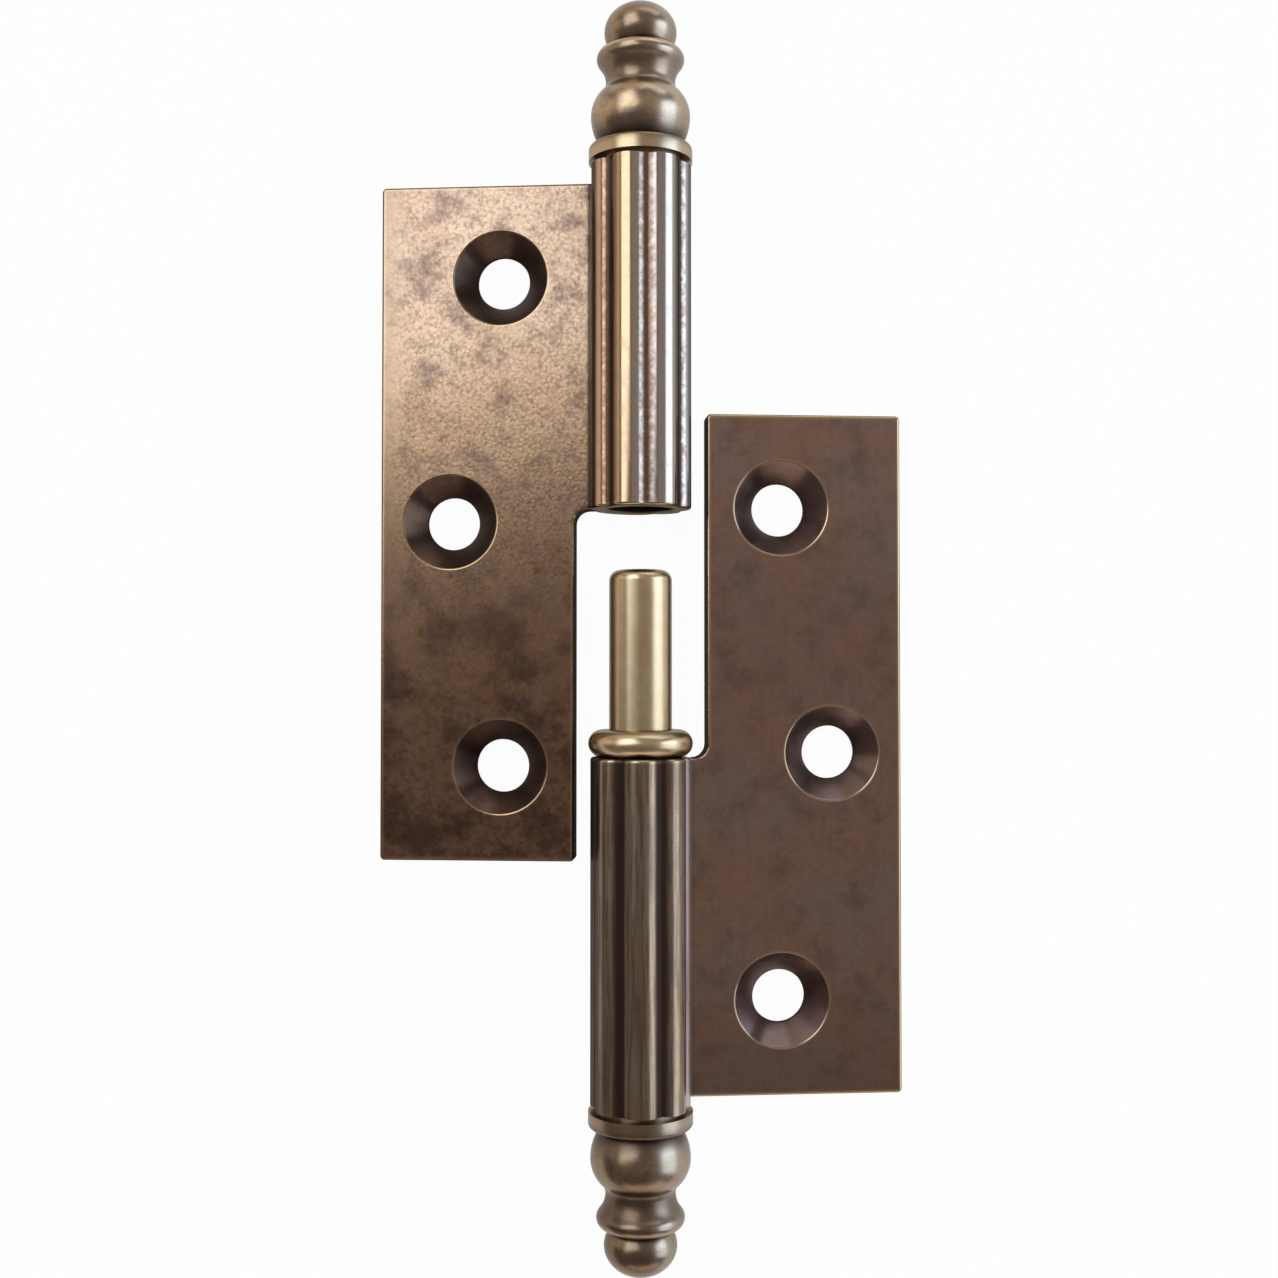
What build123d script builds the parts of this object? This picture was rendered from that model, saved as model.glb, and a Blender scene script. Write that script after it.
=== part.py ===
"""Lift-off hinge with fluted barrels and turned finials, laid open on its back with the halves drawn apart.

Millimetres, +Z up. The pin lies along +Y, over the origin, at the height that lets the ring and the
finial discs touch the floor. The leaf with the pin lies to +X, the leaf with the socket to -X.
"""
import os
from math import asin, atan2, degrees, hypot, radians, tan
from build123d import *

# Leaves
plate_height = 70.0
plate_reach = 27.1           # from the pin's centre line to the outer edge
plate_thickness = 2.8
shut_gap = 1.0               # between the faces of the two leaves when the hinge is shut
notch_reach = 6.9            # from the pin's centre line to the edge of the notch
notch_setback = 0.2          # from the barrel's inner end to the notch, along the pin
notch_radius = 1.4
corner_radius = 0.4
edge_bevel = 0.3
frame_end_step = 0.6         # how far the barrel passes the plate's end, on the leaf with the pin
door_end_step = 1.3          # the same on the leaf with the socket

# Screw holes, countersunk for flat-headed screws
hole_radius = 2.75
head_radius = 4.9
head_angle = 90.0
outer_hole_reach = 14.6      # the two holes near the ends, from the pin's centre line
middle_hole_reach = 19.85
hole_inset = 9.7             # from each end of the plate

# Barrels
barrel_radius = 5.2
barrel_length = 35.3
barrel_end_bevel = 0.35
flute_count = 7
flute_radius = 1.1
flute_depth = 0.6
rib_radius = 2.0             # the round of each rib between two flutes
frame_rib_turn = -4.0        # degrees from straight up to the front rib, towards the plate
door_rib_turn = 14.0

# Pin, socket and ring
pin_radius = 3.2
pin_exposed = 16.25          # above the ring
pin_seat = 15.0              # pressed into the barrel
pin_lead_length = 1.4
pin_lead_depth = 1.1
pin_foot_bevel = 0.5
running_clearance = 0.05     # on the radius
socket_headroom = 1.25       # above the pin's end when the hinge is seated
bore_bevel = 0.35
collar_radius = 5.33         # the ring and both finial discs
ring_height = 2.8
ring_bevel = 0.8
lift = 22.4                  # from the ring to the upper barrel, as laid out

# Finials: heights from the barrel's end, and radii
spigot_radius = 2.5
spigot_length = 8.0
spigot_relief = 0.5          # beyond the spigot's end
neck_radius = 4.3
neck_top = 0.4
disc_top = 2.15
disc_bevel = 0.65
belly_radius = 5.1
belly_height = 5.14
waist_radius = 3.5
bead_radius = 4.42
bead_height = 11.05
bead_band = 0.4              # the straight band round the bead
groove_height = 11.9
ball_radius = 3.72
ball_height = 13.25

# Values that follow from the sizes above
face_drop = shut_gap / 2
flute_pitch = 360.0 / flute_count
plate_root = 90 + degrees(asin(face_drop / barrel_radius))
socket_radius = pin_radius + running_clearance
socket_depth = pin_exposed + socket_headroom
pin_height = collar_radius
finial_length = ball_height + ball_radius
overall_length = 2 * finial_length + 2 * barrel_length + ring_height + lift
frame_barrel_end = finial_length + barrel_length - overall_length / 2
ring_end = frame_barrel_end + ring_height
door_barrel_end = ring_end + lift

# Each leaf leans until the bevelled back edge of its plate is on the floor
edge_out = plate_reach - edge_bevel
edge_down = face_drop + plate_thickness
leaf_lean = degrees(asin(pin_height / hypot(edge_out, edge_down)) - atan2(edge_down, edge_out))

STANDING = (Align.CENTER, Align.CENTER, Align.MIN)


def along_pin(y, way):
    """A place on the pin's centre line, where a shape that stood up points to +Y or -Y."""
    return Pos(0, y, 0) * Rot(-90 * way, 0, 0)


def turned(*curves):
    """A solid turned about the pin's centre line, from curves drawn as (radius, distance along Y)."""
    return revolve(make_face(Curve() + list(curves)), Axis.Y)


def half_width(ball, offset):
    """The radius of a ball's section at a distance from its centre."""
    return (ball**2 - offset**2) ** 0.5


def barrel(rib_turn):
    """A fluted rod from its inner end at Y = 0, with a rib near the front, towards +Z."""
    section = Circle(barrel_radius)
    flute_centre = barrel_radius - flute_depth + flute_radius
    for index in range(flute_count):
        from_front = rib_turn + (index + 0.5) * flute_pitch
        behind_plate = plate_root < from_front < plate_root + flute_pitch
        if not behind_plate:
            section -= Rot(0, 0, 90 + from_front) * Pos(flute_centre, 0) * Circle(flute_radius)
    section = fillet(section.vertices(), rib_radius)
    rod = extrude(Plane.XZ * section, barrel_length, dir=(0, 1, 0))
    inner_end = rod.faces().sort_by(Axis.Y)[0]
    return chamfer(inner_end.edges(), barrel_end_bevel)


def plate(end_step):
    """A flat leaf on the -X side of the barrel, notched below the barrel's inner end."""
    top = barrel_length - end_step
    bottom = top - plate_height
    inside = barrel_radius - plate_thickness
    web = Polyline(
        (-plate_reach, bottom),
        (-plate_reach, top),
        (-inside, top),
        (-inside, notch_setback),
        (-notch_reach, notch_setback),
        (-notch_reach, bottom),
        close=True,
    )
    slab = extrude(make_face(web), -plate_thickness)
    slab = fillet(upright(slab, -notch_reach, notch_setback), notch_radius)
    for x, y in ((-plate_reach, bottom), (-plate_reach, top), (-notch_reach, bottom)):
        slab = fillet(upright(slab, x, y), corner_radius)
    rims = slab.edges().filter_by(Axis.Z, reverse=True)
    return Pos(0, 0, -face_drop) * chamfer(rims, edge_bevel)


def upright(slab, x, y):
    """The edge of a slab that stands over a corner of its outline."""
    return slab.edges().filter_by(Axis.Z).sort_by_distance((x, y, -plate_thickness / 2))[0]


def screw_holes(end_step):
    """Three countersunk holes through the plate."""
    top = barrel_length - end_step
    head_depth = (head_radius - hole_radius) / tan(radians(head_angle / 2))
    shank = Pos(0, 0, -plate_thickness) * Cylinder(hole_radius, plate_thickness, align=STANDING)
    head = Pos(0, 0, -head_depth) * Cone(hole_radius, head_radius, head_depth, align=STANDING)
    places = Locations(
        (-outer_hole_reach, top - hole_inset, -face_drop),
        (-middle_hole_reach, top - plate_height / 2, -face_drop),
        (-outer_hole_reach, top - plate_height + hole_inset, -face_drop),
    )
    return places * (shank + head)


def leaf(end_step, rib_turn, bore_radius, bore_depth):
    """A plate and barrel in one piece, bored for the pin at one end and for the finial at the other."""
    body = barrel(rib_turn) + plate(end_step)
    body -= along_pin(0, 1) * Cylinder(bore_radius, bore_depth, align=STANDING)
    body -= along_pin(0, 1) * Cone(bore_radius + bore_bevel, bore_radius, bore_bevel, align=STANDING)
    body -= along_pin(barrel_length, -1) * Cylinder(spigot_radius, spigot_length + spigot_relief, align=STANDING)
    return body - screw_holes(end_step)


def finial():
    """A turned knob with a spigot, its disc just clear of the barrel's end at Y = 0."""
    foot_radius = half_width(belly_radius, belly_height - disc_top)
    waist_height = belly_height + half_width(belly_radius, waist_radius)
    groove_radius = half_width(ball_radius, ball_height - groove_height)
    return turned(
        Polyline(
            (0, -spigot_length),
            (spigot_radius, -spigot_length),
            (spigot_radius, 0),
            (neck_radius, 0),
            (neck_radius, neck_top),
            (collar_radius, neck_top),
            (collar_radius, disc_top - disc_bevel),
            (collar_radius - disc_bevel, disc_top),
            (foot_radius, disc_top),
        ),
        ThreePointArc((foot_radius, disc_top), (belly_radius, belly_height), (waist_radius, waist_height)),
        TangentArc((waist_radius, waist_height), (bead_radius, bead_height), tangent=(0, 1)),
        Polyline(
            (bead_radius, bead_height),
            (bead_radius, bead_height + bead_band),
            (groove_radius, groove_height),
        ),
        ThreePointArc((groove_radius, groove_height), (ball_radius, ball_height), (0, finial_length)),
        Line((0, finial_length), (0, -spigot_length)),
    )


def pin():
    """The pin from the ring's seat at Y = 0, with its foot in the barrel and a tapered free end."""
    end = ring_height + pin_exposed
    outline = Polyline(
        (0, -pin_seat),
        (pin_radius - pin_foot_bevel, -pin_seat),
        (pin_radius, pin_foot_bevel - pin_seat),
        (pin_radius, end - pin_lead_length),
        (pin_radius - pin_lead_depth, end),
        (0, end),
        close=True,
    )
    return turned(outline)


def ring():
    """The loose ring on the pin, bevelled at its outer edge."""
    outline = Polyline(
        (socket_radius, 0),
        (collar_radius - ring_bevel, 0),
        (collar_radius, ring_bevel),
        (collar_radius, ring_height - ring_bevel),
        (collar_radius - ring_bevel, ring_height),
        (socket_radius, ring_height),
        close=True,
    )
    return turned(outline)


# Both halves are drawn with the plate to -X and the finial to +Y; the half with the pin is turned about
door_half = Pos(0, door_barrel_end, pin_height) * Rot(0, -leaf_lean, 0)
frame_half = Pos(0, frame_barrel_end, pin_height) * Rot(0, 0, 180) * Rot(0, -leaf_lean, 0)
on_pin = Pos(0, frame_barrel_end, pin_height)

parts = {
    "frame_leaf": frame_half * leaf(frame_end_step, frame_rib_turn, pin_radius, pin_seat),
    "frame_finial": frame_half * Pos(0, barrel_length, 0) * finial(),
    "pin": on_pin * pin(),
    "ring": on_pin * ring(),
    "door_leaf": door_half * leaf(door_end_step, door_rib_turn, socket_radius, socket_depth),
    "door_finial": door_half * Pos(0, barrel_length, 0) * finial(),
}

os.makedirs("parts", exist_ok=True)
for name, shape in parts.items():
    export_step(shape, f"parts/{name}.step")
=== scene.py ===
"""Looks of a lift-off hinge in dark patinated bronze, photographed from straight above on white."""
from math import acos, asin, atan2, cos, degrees, hypot, pi, radians, sin, tan
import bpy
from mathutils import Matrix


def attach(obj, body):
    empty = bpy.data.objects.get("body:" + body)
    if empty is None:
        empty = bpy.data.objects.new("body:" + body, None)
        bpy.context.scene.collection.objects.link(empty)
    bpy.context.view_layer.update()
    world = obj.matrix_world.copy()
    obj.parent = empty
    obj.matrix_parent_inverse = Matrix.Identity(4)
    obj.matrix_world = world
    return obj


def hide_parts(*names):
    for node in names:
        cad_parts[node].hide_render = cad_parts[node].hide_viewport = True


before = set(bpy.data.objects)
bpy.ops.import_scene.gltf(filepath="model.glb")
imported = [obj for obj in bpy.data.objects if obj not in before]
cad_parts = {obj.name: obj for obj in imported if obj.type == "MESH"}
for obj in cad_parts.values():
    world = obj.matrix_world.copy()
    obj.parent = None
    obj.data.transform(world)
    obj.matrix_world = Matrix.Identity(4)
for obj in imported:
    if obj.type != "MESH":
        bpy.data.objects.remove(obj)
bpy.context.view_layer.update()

from types import SimpleNamespace

import bmesh
import bpy
from mathutils import Euler, Matrix, Vector

MM = 0.001

# Plates, in millimetres from the pin's centre line and from the barrel's inner end
PLATE_HEIGHT = 70.0
PLATE_REACH = 27.1
PLATE_THICKNESS = 2.8
FACE_DROP = 0.5
NOTCH_REACH = 6.9
NOTCH_SETBACK = 0.2
NOTCH_RADIUS = 1.4
CORNER_RADIUS = 0.45
EDGE_ROUND = 0.3
END_STEP = {"frame": 0.6, "door": 1.3}

# Screw holes, with angles in degrees; the rim's round stops just before it lies flat on the plate
HOLE_RADIUS = 2.75
HEAD_RADIUS = 4.9
CONE_SLOPE = 45
RIM_ROUND = 0.3
RIM_STOP = 94
RIM_FLARE = 0.2
OUTER_HOLE_REACH = 14.6
MIDDLE_HOLE_REACH = 19.85
HOLE_INSET = 9.7

# Barrels
BARREL_RADIUS = 5.2
BARREL_LENGTH = 35.3
BARREL_END_ROUND = 0.35
FLUTE_COUNT = 7
FLUTE_RADIUS = 1.1
FLUTE_DEPTH = 0.6
RIB_RADIUS = 2.0
FLUTE_PITCH = 360 / FLUTE_COUNT
RIB_TURN = {"frame": -4.0, "door": 14.0}

# Pin and ring
PIN_RADIUS = 3.2
PIN_EXPOSED = 16.25
PIN_SEAT = 15.0
PIN_END_ROUND = 1.1
SOCKET_RADIUS = 3.25
SOCKET_DEPTH = 17.5
BORE_BEVEL = 0.35
COLLAR_RADIUS = 5.33
RING_HEIGHT = 2.8
LIFT = 22.4

# Finials: heights from the barrel's end, and radii
FINIAL_LENGTH = 16.97
SPIGOT_RADIUS = 2.5
SPIGOT_LENGTH = 8.0
SPIGOT_RELIEF = 0.5
NECK_RADIUS = 4.3
NECK_TOP = 0.4
DISC_TOP = 2.05
DISC_ROUND = 0.5
BELLY_RADIUS = 5.1
BELLY_HEIGHT = 5.14
SHOULDER_ROUND = 3.5
WAIST_RADIUS = 3.57
WAIST_HEIGHT = 8.66
BEAD_RADIUS = 4.5
BEAD_HEIGHT = 11.1
BEAD_ROUND = 1.0
BEAD_TURN = 80
GROOVE_HEIGHT = 12.15
BALL_RADIUS = 3.72
BALL_HEIGHT = 13.9
BALL_END = 89.8

# Fineness of the meshes, as steps along each round and lengths of a barrel
ROUND_STEPS = 6
RIB_STEPS = 12
BARREL_ROWS = 4
TURNED_STEPS = 144
BELLY_STEPS = 24
SHOULDER_STEPS = 20
WAIST_STEPS = 12
BEAD_STEPS = 16
BALL_STEPS = 32
PIN_END_STEPS = 12
RING_STEPS = 24

AXIS_GAP = 0.01     # radius of the first and last ring of a turned piece
CUT_PAST = 1        # how far a cutting tool passes the metal
SHARP_FROM = 35     # degrees between faces from which an edge stays sharp

OVERALL_LENGTH = 2 * (FINIAL_LENGTH + BARREL_LENGTH) + RING_HEIGHT + LIFT
FRAME_BARREL_END = FINIAL_LENGTH + BARREL_LENGTH - OVERALL_LENGTH / 2
DOOR_BARREL_END = FRAME_BARREL_END + RING_HEIGHT + LIFT
PLATE_ROOT = 90 + degrees(asin(FACE_DROP / BARREL_RADIUS))
EDGE_DOWN = FACE_DROP + PLATE_THICKNESS
EDGE_OUT = PLATE_REACH - EDGE_ROUND
LEAN = asin(COLLAR_RADIUS / hypot(EDGE_OUT, EDGE_DOWN)) - atan2(EDGE_DOWN, EDGE_OUT)


# Shapes

def spread(start, end, steps):
    """Evenly spaced values from start to end, both included."""
    return [start + (end - start) * step / steps for step in range(steps + 1)]


def arc(centre, radius, start, end, steps=ROUND_STEPS):
    """Points of an arc about a centre, from one angle to another, in degrees."""
    return [
        (centre[0] + radius * cos(radians(angle)), centre[1] + radius * sin(radians(angle)))
        for angle in spread(start, end, steps)
    ]


def stacked(name, rings, hoop=False):
    """A closed mesh skinned over rings of points in millimetres; a hoop joins its last ring to its first."""
    shape = bmesh.new()
    rows = [[shape.verts.new(Vector(point) * MM) for point in ring] for ring in rings]
    pairs = list(zip(rows, rows[1:]))
    if hoop:
        pairs.append((rows[-1], rows[0]))
    else:
        shape.faces.new(rows[0])
        shape.faces.new(rows[-1])
    for low, high in pairs:
        for index in range(len(low)):
            shape.faces.new((low[index - 1], low[index], high[index], high[index - 1]))
    bmesh.ops.recalc_face_normals(shape, faces=shape.faces)
    mesh = bpy.data.meshes.new(name)
    shape.to_mesh(mesh)
    shape.free()
    piece = bpy.data.objects.new(name, mesh)
    bpy.context.scene.collection.objects.link(piece)
    return piece


def turned(name, profile, hoop=False, upright=False):
    """A piece turned about Y, or about Z if upright, from (radius, distance along the axis) points."""
    rings = []
    for radius, along in profile:
        ring = arc((0, 0), radius, 0, 360, TURNED_STEPS)[:-1]
        rings.append([(x, z, along) if upright else (z, along, x) for x, z in ring])
    return stacked(name, rings, hoop)


def combine(piece, tool, operation):
    """Joins a tool piece to a piece, or cuts it out, and removes the tool."""
    step = piece.modifiers.new(operation, "BOOLEAN")
    step.operation = operation
    step.solver = "EXACT"
    step.object = tool
    bpy.context.view_layer.update()
    result = bpy.data.meshes.new_from_object(piece.evaluated_get(bpy.context.evaluated_depsgraph_get()))
    piece.modifiers.clear()
    piece.data = result
    bpy.data.objects.remove(tool)


def soften(piece):
    """Smooth shading that stays flat on flats and keeps sharp edges."""
    piece.data.shade_smooth()
    piece.data.set_sharp_from_angle(angle=radians(SHARP_FROM))
    weighted = piece.modifiers.new("flat faces", "WEIGHTED_NORMAL")
    weighted.keep_sharp = True


# Barrel and plate of a leaf, drawn with the plate to -X and the finial to +Y

def fluted_section(rib_turn):
    """The barrel's outline as (radius, angle from the front towards the plate) points."""
    flute_centre = BARREL_RADIUS - FLUTE_DEPTH + FLUTE_RADIUS
    rib_centre = BARREL_RADIUS - RIB_RADIUS
    reach = FLUTE_RADIUS + RIB_RADIUS
    cosine = (flute_centre**2 + rib_centre**2 - reach**2) / (2 * flute_centre * rib_centre)
    half_flute = degrees(acos(cosine))
    rib = (rib_centre * cosine, rib_centre * sin(radians(half_flute)))
    tilt = degrees(atan2(rib[1], flute_centre - rib[0]))
    flank = arc(rib, RIB_RADIUS, half_flute, -tilt, RIB_STEPS)
    valley = arc((flute_centre, 0), FLUTE_RADIUS, 180 - tilt, 180 + tilt, RIB_STEPS)
    flute = flank + valley[1:-1] + [(x, -z) for x, z in reversed(flank)]
    plain = arc((0, 0), BARREL_RADIUS, half_flute, -half_flute, 2 * RIB_STEPS)
    points = []
    for index in range(FLUTE_COUNT):
        from_front = rib_turn + (index + 0.5) * FLUTE_PITCH
        behind_plate = PLATE_ROOT < from_front < PLATE_ROOT + FLUTE_PITCH
        for x, z in plain if behind_plate else flute:
            points.append((hypot(x, z), from_front - degrees(atan2(z, x))))
    return points


def rounded_rim(radius):
    """Steps round a rim as (inset, depth) pairs, from the end face to the side."""
    return [
        (radius * (1 - sin(radians(angle))), radius * (1 - cos(radians(angle))))
        for angle in spread(0, 90, ROUND_STEPS)
    ]


def barrel(rib_turn):
    """The fluted rod, round at the rim of its inner end."""
    section = fluted_section(rib_turn)
    rows = rounded_rim(BARREL_END_ROUND)
    rows += [(0, along) for along in spread(BARREL_LENGTH / BARREL_ROWS, BARREL_LENGTH, BARREL_ROWS - 1)]
    rings = []
    for inset, along in rows:
        ring = []
        for radius, angle in section:
            out = radius - inset
            ring.append((-out * sin(radians(angle)), along, out * cos(radians(angle))))
        rings.append(ring)
    return stacked("barrel", rings)


def plate_outline(step, inset):
    """The plate's outline, drawn in by an inset, with round corners."""
    top = BARREL_LENGTH - step - inset
    bottom = BARREL_LENGTH - step - PLATE_HEIGHT + inset
    left = -PLATE_REACH + inset
    right = -NOTCH_REACH - inset
    root = PLATE_THICKNESS - BARREL_RADIUS
    notch = NOTCH_SETBACK + inset
    corner = CORNER_RADIUS - inset
    inner = NOTCH_RADIUS + inset
    points = arc((left + corner, bottom + corner), corner, 270, 180)
    points += arc((left + corner, top - corner), corner, 180, 90)
    points += [(root, top), (root, notch)]
    points += arc((right + inner, notch - inner), inner, 90, 180)
    points += arc((right - corner, bottom + corner), corner, 0, -90)
    return points


def plate(step):
    """The flat plate with rounded rims, its face FACE_DROP below the pin's centre line."""
    quarter = rounded_rim(EDGE_ROUND)
    rows = [(inset, depth - PLATE_THICKNESS) for inset, depth in quarter]
    rows += [(inset, -depth) for inset, depth in reversed(quarter)]
    rings = []
    for inset, level in rows:
        rings.append([(x, y, level - FACE_DROP) for x, y in plate_outline(step, inset)])
    return stacked("plate", rings)


def hole_places(step):
    """The centres of the three screw holes on a plate."""
    top = BARREL_LENGTH - step
    return [
        (-OUTER_HOLE_REACH, top - HOLE_INSET),
        (-MIDDLE_HOLE_REACH, top - PLATE_HEIGHT / 2),
        (-OUTER_HOLE_REACH, top - PLATE_HEIGHT + HOLE_INSET),
    ]


def countersink():
    """A tool that cuts a screw hole, its cone turning softly into the plate's face."""
    head_depth = HEAD_RADIUS - HOLE_RADIUS
    tangent = RIM_ROUND * tan(radians(CONE_SLOPE / 2))
    rim = arc((HEAD_RADIUS + tangent, -RIM_ROUND), RIM_ROUND, 180 - CONE_SLOPE, RIM_STOP)
    profile = [(HOLE_RADIUS, -PLATE_THICKNESS - CUT_PAST), (HOLE_RADIUS, -head_depth)]
    profile += rim
    profile += [(rim[-1][0] + RIM_FLARE, rim[-1][1] + CUT_PAST)]
    return turned("countersink", profile, upright=True)


def bore(radius, depth):
    """A tool that cuts the hole for the pin, bevelled at its mouth."""
    return turned("bore", [
        (radius + 2 * BORE_BEVEL, -BORE_BEVEL),
        (radius, BORE_BEVEL),
        (radius, depth),
    ])


def leaf(name, step, rib_turn, bore_radius, bore_depth):
    """A plate and barrel in one piece, with its bores and screw holes."""
    piece = barrel(rib_turn)
    combine(piece, plate(step), "UNION")
    combine(piece, bore(bore_radius, bore_depth), "DIFFERENCE")
    spigot_bore = turned("spigot bore", [
        (SPIGOT_RADIUS, BARREL_LENGTH - SPIGOT_LENGTH - SPIGOT_RELIEF),
        (SPIGOT_RADIUS, BARREL_LENGTH + CUT_PAST),
    ])
    combine(piece, spigot_bore, "DIFFERENCE")
    for x, y in hole_places(step):
        tool = countersink()
        tool.location = Vector((x, y, -FACE_DROP)) * MM
        combine(piece, tool, "DIFFERENCE")
    piece.data.transform(Matrix.Rotation(-LEAN, 4, "Y"))
    piece.name = name
    soften(piece)
    return piece


# Turned pieces

def finial(name):
    """The turned knob with its spigot, drawn from the barrel's end at Y = 0."""
    foot_angle = degrees(asin((DISC_TOP - BELLY_HEIGHT) / BELLY_RADIUS))
    rise = WAIST_HEIGHT - BELLY_HEIGHT
    shoulder_centre = BELLY_RADIUS - SHOULDER_ROUND
    hollow = tangent_radius(WAIST_RADIUS - shoulder_centre, rise, SHOULDER_ROUND)
    shoulder_angle = degrees(atan2(rise, WAIST_RADIUS + hollow - shoulder_centre))
    bead_centre = BEAD_RADIUS - BEAD_ROUND
    climb = BEAD_HEIGHT - WAIST_HEIGHT
    neck = tangent_radius(WAIST_RADIUS - bead_centre, climb, BEAD_ROUND)
    neck_angle = degrees(atan2(climb, WAIST_RADIUS + neck - bead_centre))
    ball_rise = FINIAL_LENGTH - BALL_HEIGHT
    ball_start = degrees(asin((GROOVE_HEIGHT - BALL_HEIGHT) / ball_rise))
    profile = [
        (AXIS_GAP, -SPIGOT_LENGTH),
        (SPIGOT_RADIUS, -SPIGOT_LENGTH),
        (SPIGOT_RADIUS, 0),
        (NECK_RADIUS, 0),
        (NECK_RADIUS, NECK_TOP),
        (COLLAR_RADIUS, NECK_TOP),
    ]
    profile += arc((COLLAR_RADIUS - DISC_ROUND, DISC_TOP - DISC_ROUND), DISC_ROUND, 0, 90)
    profile += arc((0, BELLY_HEIGHT), BELLY_RADIUS, foot_angle, 0, BELLY_STEPS)
    profile += arc((shoulder_centre, BELLY_HEIGHT), SHOULDER_ROUND, 0, shoulder_angle, SHOULDER_STEPS)[1:]
    profile += arc((WAIST_RADIUS + hollow, WAIST_HEIGHT), hollow, 180 + shoulder_angle, 180, WAIST_STEPS)[1:]
    profile += arc((WAIST_RADIUS + neck, WAIST_HEIGHT), neck, 180, 180 - neck_angle, WAIST_STEPS)[1:]
    profile += arc((bead_centre, BEAD_HEIGHT), BEAD_ROUND, -neck_angle, BEAD_TURN, BEAD_STEPS)[1:]
    for angle in spread(ball_start, BALL_END, BALL_STEPS):
        profile.append((BALL_RADIUS * cos(radians(angle)), BALL_HEIGHT + ball_rise * sin(radians(angle))))
    piece = turned(name, profile)
    soften(piece)
    return piece


def tangent_radius(out, along, other):
    """The radius of a hollow that leaves a round smoothly and runs straight where it is narrowest."""
    return (out**2 + along**2 - other**2) / (2 * (other - out))


def pin(name):
    """The pin from the ring's seat at Y = 0, with a rounded free end."""
    end = RING_HEIGHT + PIN_EXPOSED
    profile = [(AXIS_GAP, -PIN_SEAT), (PIN_RADIUS, -PIN_SEAT), (PIN_RADIUS, 0)]
    profile += arc((PIN_RADIUS - PIN_END_ROUND, end - PIN_END_ROUND), PIN_END_ROUND, 0, 90, PIN_END_STEPS)
    profile += [(AXIS_GAP, end)]
    piece = turned(name, profile)
    soften(piece)
    return piece


def ring(name):
    """The loose ring with a round outer edge."""
    half = RING_HEIGHT / 2
    profile = arc((COLLAR_RADIUS - half, half), half, -90, 90, RING_STEPS)
    profile += [(SOCKET_RADIUS, RING_HEIGHT), (SOCKET_RADIUS, 0)]
    piece = turned(name, profile, hoop=True)
    soften(piece)
    return piece


# Materials

class Wire:
    """A socket in a material's node tree; arithmetic on it adds Math nodes."""

    def __init__(self, tree, socket=None):
        self.tree = tree
        self.socket = socket

    def add(self, kind, settings=None, inputs=None, output=0):
        """A new node with its settings and inputs, as the wire from one of its outputs."""
        node = self.tree.nodes.new("ShaderNode" + kind)
        for key, value in (settings or {}).items():
            setattr(node, key, value)
        for key, value in (inputs or {}).items():
            if isinstance(value, Wire):
                self.tree.links.new(value.socket, node.inputs[key])
            else:
                node.inputs[key].default_value = value
        return Wire(self.tree, node.outputs[output] if node.outputs else None)

    def math(self, operation, *values):
        """A Math node on wires and numbers."""
        return self.add("Math", {"operation": operation}, dict(enumerate(values)))

    def __add__(self, other):
        return self.math("ADD", self, other)

    def __radd__(self, other):
        return self.math("ADD", other, self)

    def __sub__(self, other):
        return self.math("SUBTRACT", self, other)

    def __rsub__(self, other):
        return self.math("SUBTRACT", other, self)

    def __mul__(self, other):
        return self.math("MULTIPLY", self, other)

    def __rmul__(self, other):
        return self.math("MULTIPLY", other, self)

    def __abs__(self):
        return self.math("ABSOLUTE", self)

    def most(self, *others):
        """The greatest of this wire and others."""
        greatest = self
        for other in others:
            greatest = self.math("MAXIMUM", greatest, other)
        return greatest

    def least(self, *others):
        """The smallest of this wire and others."""
        smallest = self
        for other in others:
            smallest = self.math("MINIMUM", smallest, other)
        return smallest

    def step(self, low, high):
        """0 below low, 1 above high, and a smooth rise between."""
        limits = {"Value": self, "From Min": low, "From Max": high}
        return self.add("MapRange", {"interpolation_type": "SMOOTHSTEP"}, limits)

    def near(self, middle, inside, outside):
        """1 up to one distance from a middle, 0 beyond another, and a smooth fall between."""
        return 1 - abs(self - middle).step(inside, outside)

    def blend(self, low, high):
        """A colour between two, by this wire."""
        return self.add("Mix", {"data_type": "RGBA"}, {0: self, 6: low, 7: high}, 2)


def new_material(name):
    """An empty node material and a bare wire on its tree."""
    material = bpy.data.materials.new(name)
    material.use_nodes = True
    material.node_tree.nodes.clear()
    return material, Wire(material.node_tree)


def noise(start, where, size, detail, roughness=0.55):
    """Clouds of a size in millimetres, from 0 to 1."""
    return start.add("TexNoise", {}, {
        "Vector": where,
        "Scale": 1 / size,
        "Detail": detail,
        "Roughness": roughness,
    })


def colour(red, green, blue):
    """A colour written as it looks, 0 to 255, as a linear colour with alpha."""
    def linear(value):
        value = value / 255
        return value / 12.92 if value <= 0.04045 else ((value + 0.055) / 1.055) ** 2.4
    return (linear(red), linear(green), linear(blue), 1)


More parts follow.
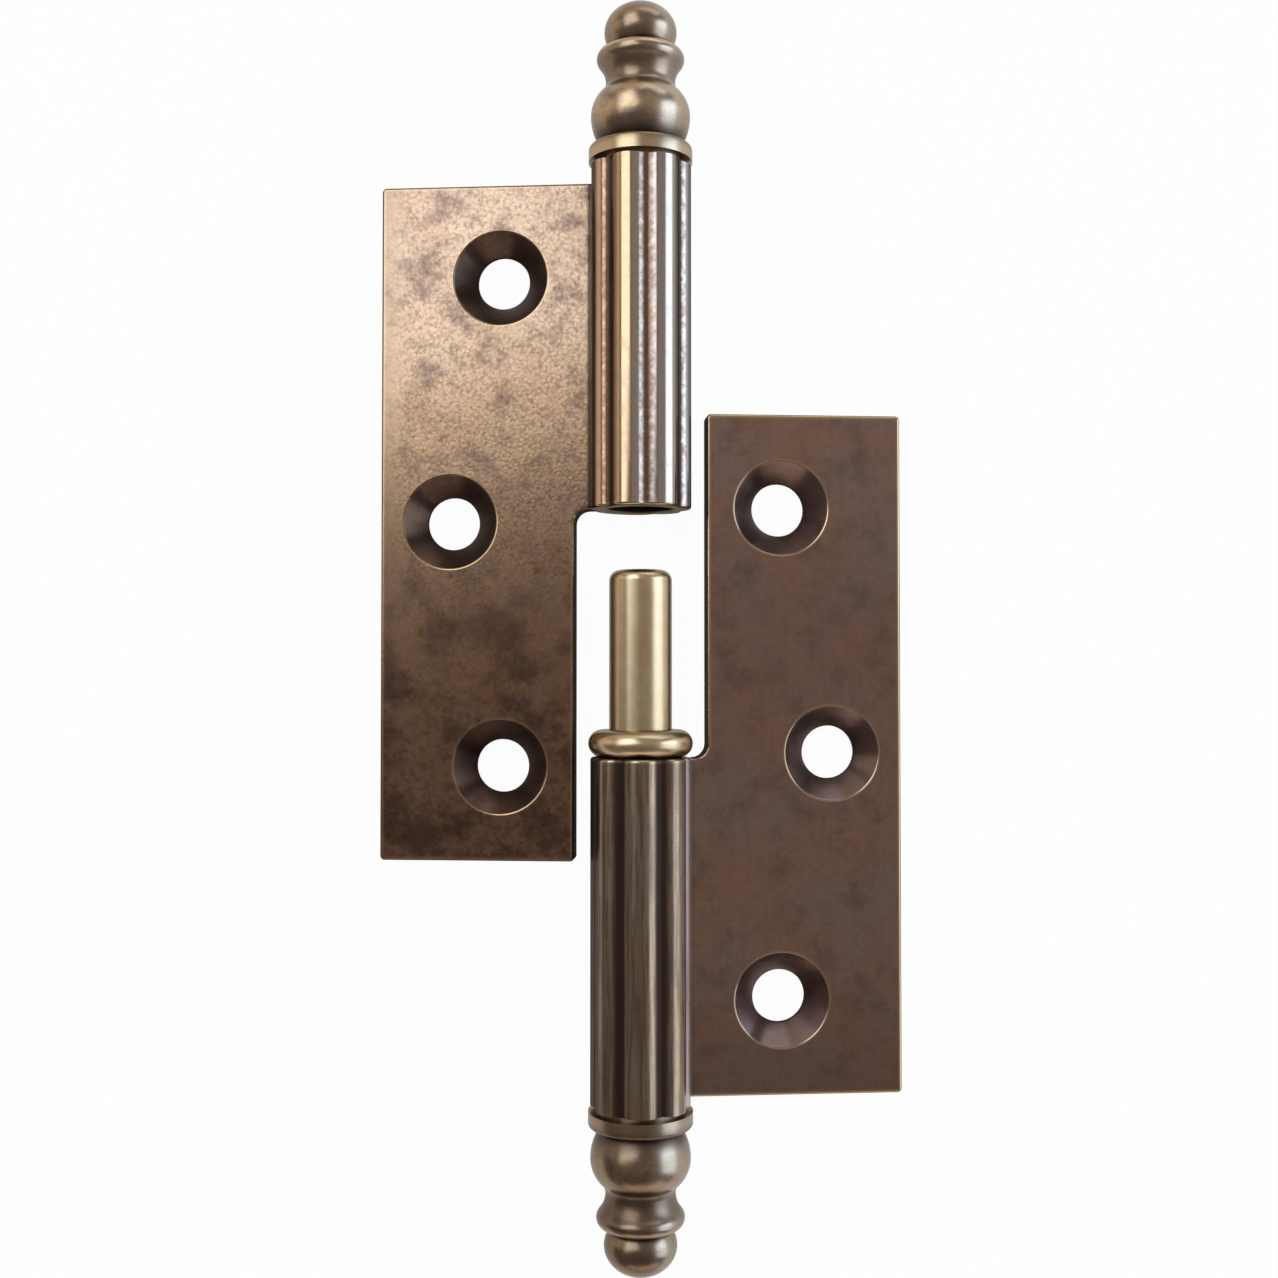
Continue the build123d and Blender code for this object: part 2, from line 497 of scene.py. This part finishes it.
# Blasted leaf
CREAM = colour(159, 131, 109)
PALE_CREAM = colour(169, 142, 119)
AMBER = colour(165, 129, 95)
PIT_BROWN = colour(73, 53, 37)
GRIT_BROWN = colour(92, 67, 49)
EDGE_GREY = colour(118, 98, 80)
# Rib tints: painted reflections across the barrel, from copper to pale
RIB_COPPER = colour(183, 150, 122)
RIB_BROWN = colour(119, 90, 70)
RIB_GOLD = colour(177, 147, 111)
RIB_SILVER = colour(165, 154, 146)
RIB_PALE = colour(198, 190, 186)
FLUTE_TAN = colour(106, 80, 60)
# Painted shade at the plate's foot, and stains and spots there
FOOT_SHADE_BROWN = colour(131, 94, 74)
FOOT_SPOT = colour(84, 58, 43)
STAIN_BROWN = colour(73, 55, 51)
FLECK_GOLD = colour(159, 121, 78)
BLASTED_SINK_SHADE = colour(68, 50, 44)

# Smooth leaf
RUDDY = colour(154, 121, 103)
ASHEN = colour(147, 124, 114)
LINE_MAUVE = colour(121, 93, 88)
BARREL_TAN = colour(145, 126, 103)
STREAK_BROWN = colour(67, 52, 42)
FLUTE_DARK = colour(62, 47, 39)
RIB_LILAC_HIGHLIGHT = colour(198, 188, 185)
SMOOTH_SINK_SHADE = colour(108, 86, 81)

# Both leaves
PATINA_GREY = colour(101, 83, 76)
SPOT_BROWN = colour(103, 71, 52)
# Wear on rims and edges, and a painted highlight at the barrel's mouth
WEAR_AND_GLINT_GOLD = colour(188, 160, 119)

# Every piece
# Dull dark brown laid over metal, mostly as painted shade
DIRT_AND_SHADE_BROWN = colour(40, 30, 25)

# Knobs, pin and ring
KNOB_LIGHT = colour(124, 105, 93)
KNOB_LIGHT_WARM = colour(154, 126, 96)
KNOB_DARK = colour(104, 87, 77)
KNOB_DARK_WARM = colour(132, 108, 82)
KNOB_RUB = colour(184, 156, 120)
# Painted highlight on one side of a knob
KNOB_PAINTED_HIGHLIGHT = colour(184, 171, 155)
# Patina in the hollows, and painted shade at the waist
KNOB_DIRT_AND_SHADE = colour(65, 50, 45)
TURNING_MARK = colour(88, 70, 60)
BRASS = colour(184, 158, 122)
PALE_BRASS = colour(191, 167, 133)

# Where finishes and painted light change, in millimetres: along the blasted plate, whose foot darkens as
# painted shade, and across its barrel, whose bands are painted reflections
GRAIN_FADE = (-26.0, 4.0)
GOLD_FADE = (2.0, 26.0)
FOOT_SHADE_FADE = (-24.0, 10.0)
FLECK_FADE = (-32.0, -8.0)
EDGE_FADE = (0.3, 3.2)
RIB_REFLECTION_BANDS = [
    ((-3.2, -2.6), RIB_BROWN),
    ((-2.2, -1.8), RIB_GOLD),
    ((-1.2, 0.2), RIB_SILVER),
    ((3.4, 3.9), RIB_PALE),
]
GRANULE = 0.39      # size of the blasted grains
FAR_FROM_EDGE = 9   # a distance that no mark of an edge reaches

# Depths of relief, in millimetres
LEAF_RELIEF = 0.016
KNOB_RELIEF = 0.006
BRASS_RELIEF = 0.004


def layered(tint, *layers):
    """A colour with others laid over it in order, each given with its share."""
    for share, shade in layers:
        tint = share.blend(tint, shade)
    return tint


def metal(material, start, tint, rough, height, depth, grime_and_shade):
    """A metal surface with a colour, a roughness, a relief and a share of dull dark brown, laid on for
    soiling and for painted shade.
    """
    relief = start.add("Bump", {}, {"Height": height, "Distance": depth * MM, "Strength": 1.0})
    bright = start.add("BsdfPrincipled", {}, {
        "Base Color": tint,
        "Roughness": rough,
        "Metallic": 1.0,
        "Normal": relief,
    })
    dull = start.add("BsdfDiffuse", {}, {"Color": DIRT_AND_SHADE_BROWN})
    surface = start.add("MixShader", {}, {0: grime_and_shade, 1: bright, 2: dull})
    start.add("OutputMaterial", {}, {"Surface": surface})
    return material


def place_in_mm(start, lean=0.0):
    """The place on a piece in millimetres, in the piece's own frame, with a lean taken out."""
    spot = start.add("TexCoord", {}, {}, "Object")
    spot = start.add("VectorMath", {"operation": "SCALE"}, {"Vector": spot, "Scale": 1 / MM})
    return start.add("VectorRotate", {"rotation_type": "Y_AXIS"}, {"Vector": spot, "Angle": lean})


def split(start, where):
    """The three coordinates of a place."""
    return [start.add("SeparateXYZ", {}, {"Vector": where}, index) for index in range(3)]


def stretched(start, where, x, y, z):
    """A place scaled on each axis, for marks that run one way."""
    return start.add("VectorMath", {"operation": "MULTIPLY"}, {0: where, 1: (x, y, z)})


def flanks(start, steep=0.2, level=0.75):
    """The steep sides of a piece, where painted shade stands for the dark surroundings they reflect; on
    bronze, dark patina as well.
    """
    upright = split(start, start.add("TexCoord", {}, {}, "Normal"))[2]
    return 1 - abs(upright).step(steep, level)


def distance(start, along_one, along_other):
    """The length of a way with two legs at a right angle."""
    return start.math("SQRT", along_one * along_one + along_other * along_other)


def hole_distance(start, x, y, step):
    """The distance from the middle of the nearest screw hole."""
    first, *others = [distance(start, x - hole_x, y - hole_y) for hole_x, hole_y in hole_places(step)]
    return first.least(*others)


def plate_edge_distance(x, y, step):
    """The distance in from the nearest free edge of the plate; beside the barrel the notch doesn't count."""
    top = BARREL_LENGTH - step
    bottom = top - PLATE_HEIGHT
    beside_barrel = (y - NOTCH_SETBACK).step(-1, 1)
    notch = abs(x + NOTCH_REACH) + beside_barrel * FAR_FROM_EDGE
    return (x + PLATE_REACH).least(top - y, y - bottom, notch)


def leaf_places(start, step):
    """A point on a leaf: its coordinates, the noises there, and shares from 0 to 1 with soft borders."""
    where = place_in_mm(start, LEAN)
    x, y, z = split(start, where)
    across = distance(start, x, z)
    barrel_share = 1 - across.step(BARREL_RADIUS + 0.02, BARREL_RADIUS + 0.12)
    plate_share = 1 - barrel_share
    front = z.step(0.1 - EDGE_DOWN, 0.4 - EDGE_DOWN)
    from_hole = hole_distance(start, x, y, step)
    from_edge = plate_edge_distance(x, y, step)
    rim = from_hole.near(HEAD_RADIUS + 0.06, 0.03, 0.15) * front
    edge = 1 - from_edge.step(0.25, EDGE_ROUND + 0.2)
    return SimpleNamespace(
        where=where,
        x=x,
        y=y,
        across=across,
        from_edge=from_edge,
        clouds=noise(start, where, size=9.0, detail=3.0),
        patches=noise(start, where, size=3.4, detail=6.0, roughness=0.65),
        spots=noise(start, where, size=0.7, detail=4.0, roughness=0.6),
        lines=noise(start, stretched(start, where, 1.0, 0.04, 1.0), size=0.35, detail=3.0, roughness=0.6),
        barrel=barrel_share,
        plate=plate_share,
        # Inside the bore, darkened as painted shade
        bore=1 - across.step(SOCKET_RADIUS + 0.1, SOCKET_RADIUS + 0.5),
        # Painted highlight on the rim of the barrel's inner end
        mouth=(1 - y.step(0.15, 0.6)) * barrel_share,
        # Along the crease where plate meets barrel, darkened as painted shade with soiling
        seam=x.near(0.1 - BARREL_RADIUS, 0.2, 0.65) * y.step(-0.2, 0.2),
        # Inside the countersinks, tinted darker as painted shade
        sink=(1 - from_hole.step(HEAD_RADIUS - 0.1, HEAD_RADIUS + 0.05)) * plate_share * front,
        worn=rim.most(edge) * plate_share,
    )


def in_flute(across, barrel_share):
    """How far a point lies down in a flute, by its distance from the pin's centre line."""
    return (1 - across.step(BARREL_RADIUS - FLUTE_DEPTH, BARREL_RADIUS - 0.2)) * barrel_share


def edge_shade_line(on, width):
    """A dark line along the free edges of a plate, painted shade on its rims."""
    return (1 - on.from_edge.step(0.06, width)) * on.plate * 0.85


def side_shade_and_patina(start, on):
    """Painted shade on the steep sides of a leaf, nearly full on the plate's sides, with dark patina there as
    well.
    """
    return flanks(start, 0.4, 0.8) * (0.8 + 0.17 * on.plate)


def blasted_bronze(name, step):
    """The leaf with the socket: a pale grainy plate, darker at its foot as painted shade with stains there,
    and ribs from copper to silver as painted reflections.
    """
    material, start = new_material(name)
    on = leaf_places(start, step)
    granules = start.add("TexVoronoi", {}, {"Vector": on.where, "Scale": 1 / GRANULE})
    stains = noise(start, on.where, size=5.0, detail=8.0, roughness=0.7)
    inner = (on.x + PLATE_REACH).step(*EDGE_FADE)
    grainy = (on.y.step(*GRAIN_FADE) * 0.75 + 0.25) * (0.35 + 0.65 * inner)
    pits = granules.step(0.25, 0.85) * on.spots.step(0.34, 0.6) * grainy
    grit = noise(start, on.where, size=0.34, detail=2.0).step(0.5, 0.64) * grainy
    flute = in_flute(on.across + (on.spots - 0.5) * 0.6, on.barrel)
    golden = (1 - on.y.step(*GOLD_FADE)) * on.plate
    # Darker towards the foot of the plate: painted shade where the overhead sheen falls off, with real stains
    # and spots there too
    foot_shade_and_stains = (1 - on.y.step(*FOOT_SHADE_FADE)) * on.plate
    unstained = 1 - stains.step(0.4, 0.62)
    flecks = on.spots.step(0.5, 0.66) * unstained * golden * on.y.step(*FLECK_FADE)
    # Painted reflections: the barrel tinted copper, brown, gold, silver and pale across its width, as it
    # would mirror the warm and cool lights
    ribs = RIB_COPPER
    for band, shade in RIB_REFLECTION_BANDS:
        ribs = on.x.step(*band).blend(ribs, shade)

    tint = layered(
        on.clouds.step(0.35, 0.65).blend(CREAM, PALE_CREAM),
        (golden * 0.6, AMBER),
        (on.patches.step(0.45, 0.72) * 0.8, PATINA_GREY),
        (pits * on.plate * (0.2 + 0.45 * on.patches), PIT_BROWN),
        (grit * on.plate * 0.4, GRIT_BROWN),
        ((1 - inner) * 0.3, EDGE_GREY),
        ((1 - on.spots.step(0.36, 0.58)) * 0.14, SPOT_BROWN),
        (on.barrel * 0.75, ribs),
        (flute * 0.9, FLUTE_TAN),
        (foot_shade_and_stains * 0.6, FOOT_SHADE_BROWN),
        (stains.step(0.44, 0.62) * foot_shade_and_stains * 0.7, STAIN_BROWN),
        (on.spots.step(0.45, 0.62) * foot_shade_and_stains * 0.45, FOOT_SPOT),
        (flecks * 0.55, FLECK_GOLD),
        # Wear on hole rims and plate edges, and a painted highlight at the barrel's mouth
        ((on.worn * 0.35).most(on.mouth * 0.8), WEAR_AND_GLINT_GOLD),
        (on.sink * 0.85, BLASTED_SINK_SHADE),
    )
    rough = 0.16 + 0.08 * on.patches.step(0.4, 0.7) + 0.04 * on.plate + 0.1 * flute + 0.08 * on.sink
    blasted = (on.spots - pits) * (on.plate * (1 - on.sink) + flute) * 0.24 * grainy
    # Painted shade on the ribs beside the plate
    painted_shade_rib = (1 - on.x.step(-4.5, -4.05)) * on.barrel
    # Dull brown over the bronze: painted shade on the steep sides, the rib beside the plate, the bore, the
    # plate's edges and the seam, with patina in the flutes and on the sides
    grime_and_shade = side_shade_and_patina(start, on).most(
        flute * flanks(start, 0.6, 0.9) * 0.7,
        painted_shade_rib * 0.85,
        on.bore,
        edge_shade_line(on, 0.26),
        on.seam * 0.85,
    )
    return metal(material, start, tint, rough, blasted + on.lines * 0.01, LEAF_RELIEF, grime_and_shade)


def smooth_bronze(name, step):
    """The leaf with the pin: a smooth dark plate with bright worn rims, and a tan barrel with dark flutes,
    painted shade on its free side and a painted highlight on its plate side.
    """
    material, start = new_material(name)
    on = leaf_places(start, step)
    flute = in_flute(on.across, on.barrel)
    # Painted highlight: pale lilac on the barrel's plate side
    painted_highlight_rib = (1 - on.x.step(-4.7, -4.2)) * on.barrel
    tint = layered(
        on.clouds.step(0.35, 0.65).blend(RUDDY, ASHEN),
        (on.patches.step(0.45, 0.72) * 0.55, PATINA_GREY),
        ((1 - on.spots.step(0.36, 0.58)) * 0.14, SPOT_BROWN),
        (on.lines.step(0.45, 0.65) * 0.12, LINE_MAUVE),
        (on.barrel * 0.7, BARREL_TAN),
        (on.lines.step(0.42, 0.62) * on.barrel * 0.45, STREAK_BROWN),
        (flute * 0.9, FLUTE_DARK),
        (painted_highlight_rib * 0.85, RIB_LILAC_HIGHLIGHT),
        # Wear on hole rims and plate edges, and a painted highlight at the barrel's mouth
        ((on.worn * 0.75).most(on.mouth * 0.5), WEAR_AND_GLINT_GOLD),
        (on.sink * 0.85, SMOOTH_SINK_SHADE),
    )
    rough = 0.16 + 0.08 * on.patches.step(0.4, 0.7) + 0.1 * flute + 0.08 * on.sink + 0.08 * on.barrel
    # Painted shade on the barrel's free side, and painted light on its plate side, which lifts the dark brown
    # there
    painted_shade_rib = on.x.step(4.05, 4.5) * on.barrel
    painted_lit_side = (1 - on.x.step(-4.2, -3.2)) * on.barrel * 0.85
    # Dull brown over the bronze: painted shade on the steep sides and the barrel's free side, lifted on its
    # plate side as painted light, with patina in the flutes
    grime_and_shade = side_shade_and_patina(start, on).most(flute * 0.8, painted_shade_rib * 0.5) * (1 - painted_lit_side)
    # More painted shade in the bore, on the plate's edges and along the seam
    grime_and_shade = grime_and_shade.most(on.bore, edge_shade_line(on, 0.14), on.seam * 0.15)
    return metal(material, start, tint, rough, on.lines * 0.1, LEAF_RELIEF, grime_and_shade)


def turned_bronze(name, plain, warm, rubbing, waist_dirt_and_shade, painted_highlight_side):
    """Brown bronze on a finial, dark in the hollows and with painted shade at its waist, with turning marks,
    a bright rub on its swells, a painted highlight on one side and painted shade on its steep sides.
    """
    material, start = new_material(name)
    where = place_in_mm(start)
    x, y = split(start, where)[:2]
    clouds = noise(start, where, size=2.2, detail=5.0, roughness=0.65)
    marks = noise(start, stretched(start, where, 0.12, 1.0, 0.12), size=0.16, detail=3.0, roughness=0.6)
    # Darker in the hollows: patina at the foot and groove, and at the waist partly painted shade
    waist = y.near(WAIST_HEIGHT + 0.6, 0.4, 1.8)
    foot = y.near(DISC_TOP + 0.3, 0.1, 1.4)
    groove = y.near(GROOVE_HEIGHT, 0.1, 0.4)
    dirt_and_shade = foot.most(groove, waist * waist_dirt_and_shade)
    ridge = y.near(BEAD_HEIGHT + 0.55, 0.15, 0.5)
    disc = 1 - y.step(DISC_TOP - 0.1, DISC_TOP + 0.05)
    swell = y.near(BELLY_HEIGHT + 0.6, 0.6, 2.4) * clouds.step(0.3, 0.6)
    tint = layered(
        clouds.step(0.25, 0.75).blend(plain, warm),
        (ridge.most(swell * 0.7, disc * 0.8) * rubbing, KNOB_RUB),
        # Painted highlight: paler on the side towards the bright walls
        ((x * painted_highlight_side).step(0.4, 2.6) * 0.45, KNOB_PAINTED_HIGHLIGHT),
        (dirt_and_shade * 0.75, KNOB_DIRT_AND_SHADE),
        (marks.step(0.5, 0.75) * 0.25, TURNING_MARK),
    )
    rough = 0.245 + 0.08 * clouds + 0.1 * dirt_and_shade
    return metal(material, start, tint, rough, marks, KNOB_RELIEF, flanks(start) * 0.3)


def pin_brass(name):
    """Lighter polished brass on the pin and ring, with painted shade on their steep sides."""
    material, start = new_material(name)
    where = place_in_mm(start)
    clouds = noise(start, where, size=2.0, detail=4.0, roughness=0.6)
    lines = noise(start, stretched(start, where, 1.0, 0.08, 1.0), size=0.4, detail=3.0)
    tint = clouds.step(0.3, 0.7).blend(BRASS, PALE_BRASS)
    rough = 0.25 + 0.08 * clouds
    return metal(material, start, tint, rough, clouds * 0.5 + lines * 0.5, BRASS_RELIEF, flanks(start) * 0.5)


# Floor, light and camera

FLOOR_SIZE = 6
FLOOR_WHITE = 0.97
FLOOR_GREY = (0.85, 0.85, 0.85, 1)
WHITE = (1, 1, 1, 1)
BACKDROP_GREY = (0.256, 0.24, 0.24, 1)

# Name, centre in metres, turn and spin in degrees, width, length, brightness and tint of each soft panel
PANELS = [
    ("window", (-1.16, 1.23, 1.5), 0, 12.5, 1.6, 2.2, 3.52, (0.78, 0.89, 1.0)),
    ("dim ceiling", (0.9, 1.0, 1.5), 0, 0, 1.6, 1.7, 0.24, (1.0, 0.92, 0.87)),
    ("dim ceiling near", (0.9, -0.12, 1.5), 0, 0, 1.6, 0.54, 0.125, (1.0, 0.92, 0.87)),
    ("left wall", (-1.5, 0.5, 0.4), -90, 0, 0.7, 0.9, 0.8, (1.0, 0.9, 0.76)),
    ("right wall far", (1.5, 0.45, 0.68), 90, 0, 1.26, 0.66, 4.48, (0.58, 0.77, 1.0)),
    ("right wall middle", (1.5, 0.02, 0.68), 90, 0, 1.26, 0.18, 3.2, (0.6, 0.78, 1.0)),
    ("right wall near", (1.5, -0.45, 0.68), 90, 0, 1.26, 0.74, 2.56, (0.66, 0.82, 1.0)),
    ("far wall left", (-1.0, 2.2, 0.7), 90, 90, 1.0, 2.0, 0.72, (1.0, 0.92, 0.82)),
    ("far wall right", (1.0, 2.2, 0.7), 90, 90, 1.0, 2.0, 2.08, (0.8, 0.9, 1.0)),
    ("near wall", (0.3, -2.2, 0.7), 90, -90, 1.0, 3.0, 1.04, (1.0, 0.92, 0.84)),
]

# Camera: its place in millimetres, its tilt in degrees, its lens and sensor
CAMERA_PLACE = (-0.155, -4.155, 160.07)
CAMERA_TILT = (1.323, 0, 0)
LENS = 42.71
SENSOR = 36
NEAREST = 0.01


def floor():
    """A wide pale floor that looks white and keeps a soft shadow."""
    bpy.ops.mesh.primitive_plane_add(size=FLOOR_SIZE)
    ground = bpy.context.object
    ground.name = "floor"
    material, start = new_material("pale floor")
    rays = ("Is Camera Ray", "Is Glossy Ray", "Is Transmission Ray")
    to_camera, to_gloss, through_glass = [start.add("LightPath", {}, {}, ray) for ray in rays]
    seen = (to_camera + to_gloss + through_glass).least(1.0) * FLOOR_WHITE
    matt = start.add("BsdfDiffuse", {}, {"Color": FLOOR_GREY})
    white = start.add("Emission", {}, {"Color": WHITE, "Strength": 1.0})
    surface = start.add("MixShader", {}, {0: seen, 1: matt, 2: white})
    start.add("OutputMaterial", {}, {"Surface": surface})
    ground.data.materials.append(material)


def panel(name, centre, turn, spin, width, length, brightness, tint):
    """A soft panel, overhead at turn 0 and upright on the right or left at 90 or -90; length runs along Y."""
    lamp = bpy.data.lights.new(name, "AREA")
    lamp.shape = "RECTANGLE"
    lamp.size = width
    lamp.size_y = length
    lamp.color = tint
    lamp.energy = brightness * pi * width * length
    stand = bpy.data.objects.new(name, lamp)
    stand.location = centre
    stand.rotation_euler = Euler((0, radians(turn), radians(spin)))
    bpy.context.scene.collection.objects.link(stand)


def lights():
    """A window overhead at the far left, a dim ceiling at the right, and walls round about in a grey room."""
    for soft_panel in PANELS:
        panel(*soft_panel)
    world = bpy.data.worlds.new("studio")
    bpy.context.scene.world = world
    world.use_nodes = True
    backdrop = world.node_tree.nodes["Background"]
    backdrop.inputs["Color"].default_value = BACKDROP_GREY
    backdrop.inputs["Strength"].default_value = 1.0


def camera():
    """The camera straight above, tipped a little towards the upper finial."""
    lens = bpy.data.cameras.new("camera")
    lens.lens = LENS
    lens.sensor_width = SENSOR
    lens.clip_start = NEAREST
    viewer = bpy.data.objects.new("camera", lens)
    viewer.location = Vector(CAMERA_PLACE) * MM
    viewer.rotation_euler = Euler([radians(angle) for angle in CAMERA_TILT])
    bpy.context.scene.collection.objects.link(viewer)
    bpy.context.scene.camera = viewer


# The hinge

def dress(piece, node, body, material, place):
    """Puts a piece where its solid is, with its finish."""
    piece.data.materials.clear()
    piece.data.materials.append(material)
    piece.matrix_world = place
    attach(piece, body)
    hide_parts(node)


def at(along, turn=0.0):
    """A place on the pin's centre line, turned about."""
    return Matrix.Translation(Vector((0, along, COLLAR_RADIUS)) * MM) @ Matrix.Rotation(radians(turn), 4, "Z")


door_half = at(DOOR_BARREL_END)
frame_half = at(FRAME_BARREL_END, 180)
on_pin = at(FRAME_BARREL_END)
to_finial = Matrix.Translation(Vector((0, BARREL_LENGTH, 0)) * MM)

pin_finish = pin_brass("pin brass")
dress(
    leaf("socket_leaf", END_STEP["door"], RIB_TURN["door"], SOCKET_RADIUS, SOCKET_DEPTH),
    "door_leaf", "door half",
    blasted_bronze("blasted bronze", END_STEP["door"]), door_half,
)
dress(
    leaf("pin_leaf", END_STEP["frame"], RIB_TURN["frame"], PIN_RADIUS, PIN_SEAT),
    "frame_leaf", "frame half",
    smooth_bronze("smooth bronze", END_STEP["frame"]), frame_half,
)
dress(
    finial("upper_knob"), "door_finial", "door half",
    turned_bronze("rubbed bronze", KNOB_LIGHT, KNOB_LIGHT_WARM, rubbing=1.0, waist_dirt_and_shade=0.35, painted_highlight_side=1),
    door_half @ to_finial,
)
dress(
    finial("lower_knob"), "frame_finial", "frame half",
    turned_bronze("dark bronze", KNOB_DARK, KNOB_DARK_WARM, rubbing=0.35, waist_dirt_and_shade=0.65, painted_highlight_side=-1),
    frame_half @ to_finial,
)
dress(pin("hinge_pin"), "pin", "frame half", pin_finish, on_pin)
dress(ring("loose_ring"), "ring", "ring", pin_finish, on_pin)

floor()
lights()
camera()
bpy.context.scene.view_settings.view_transform = "Standard"
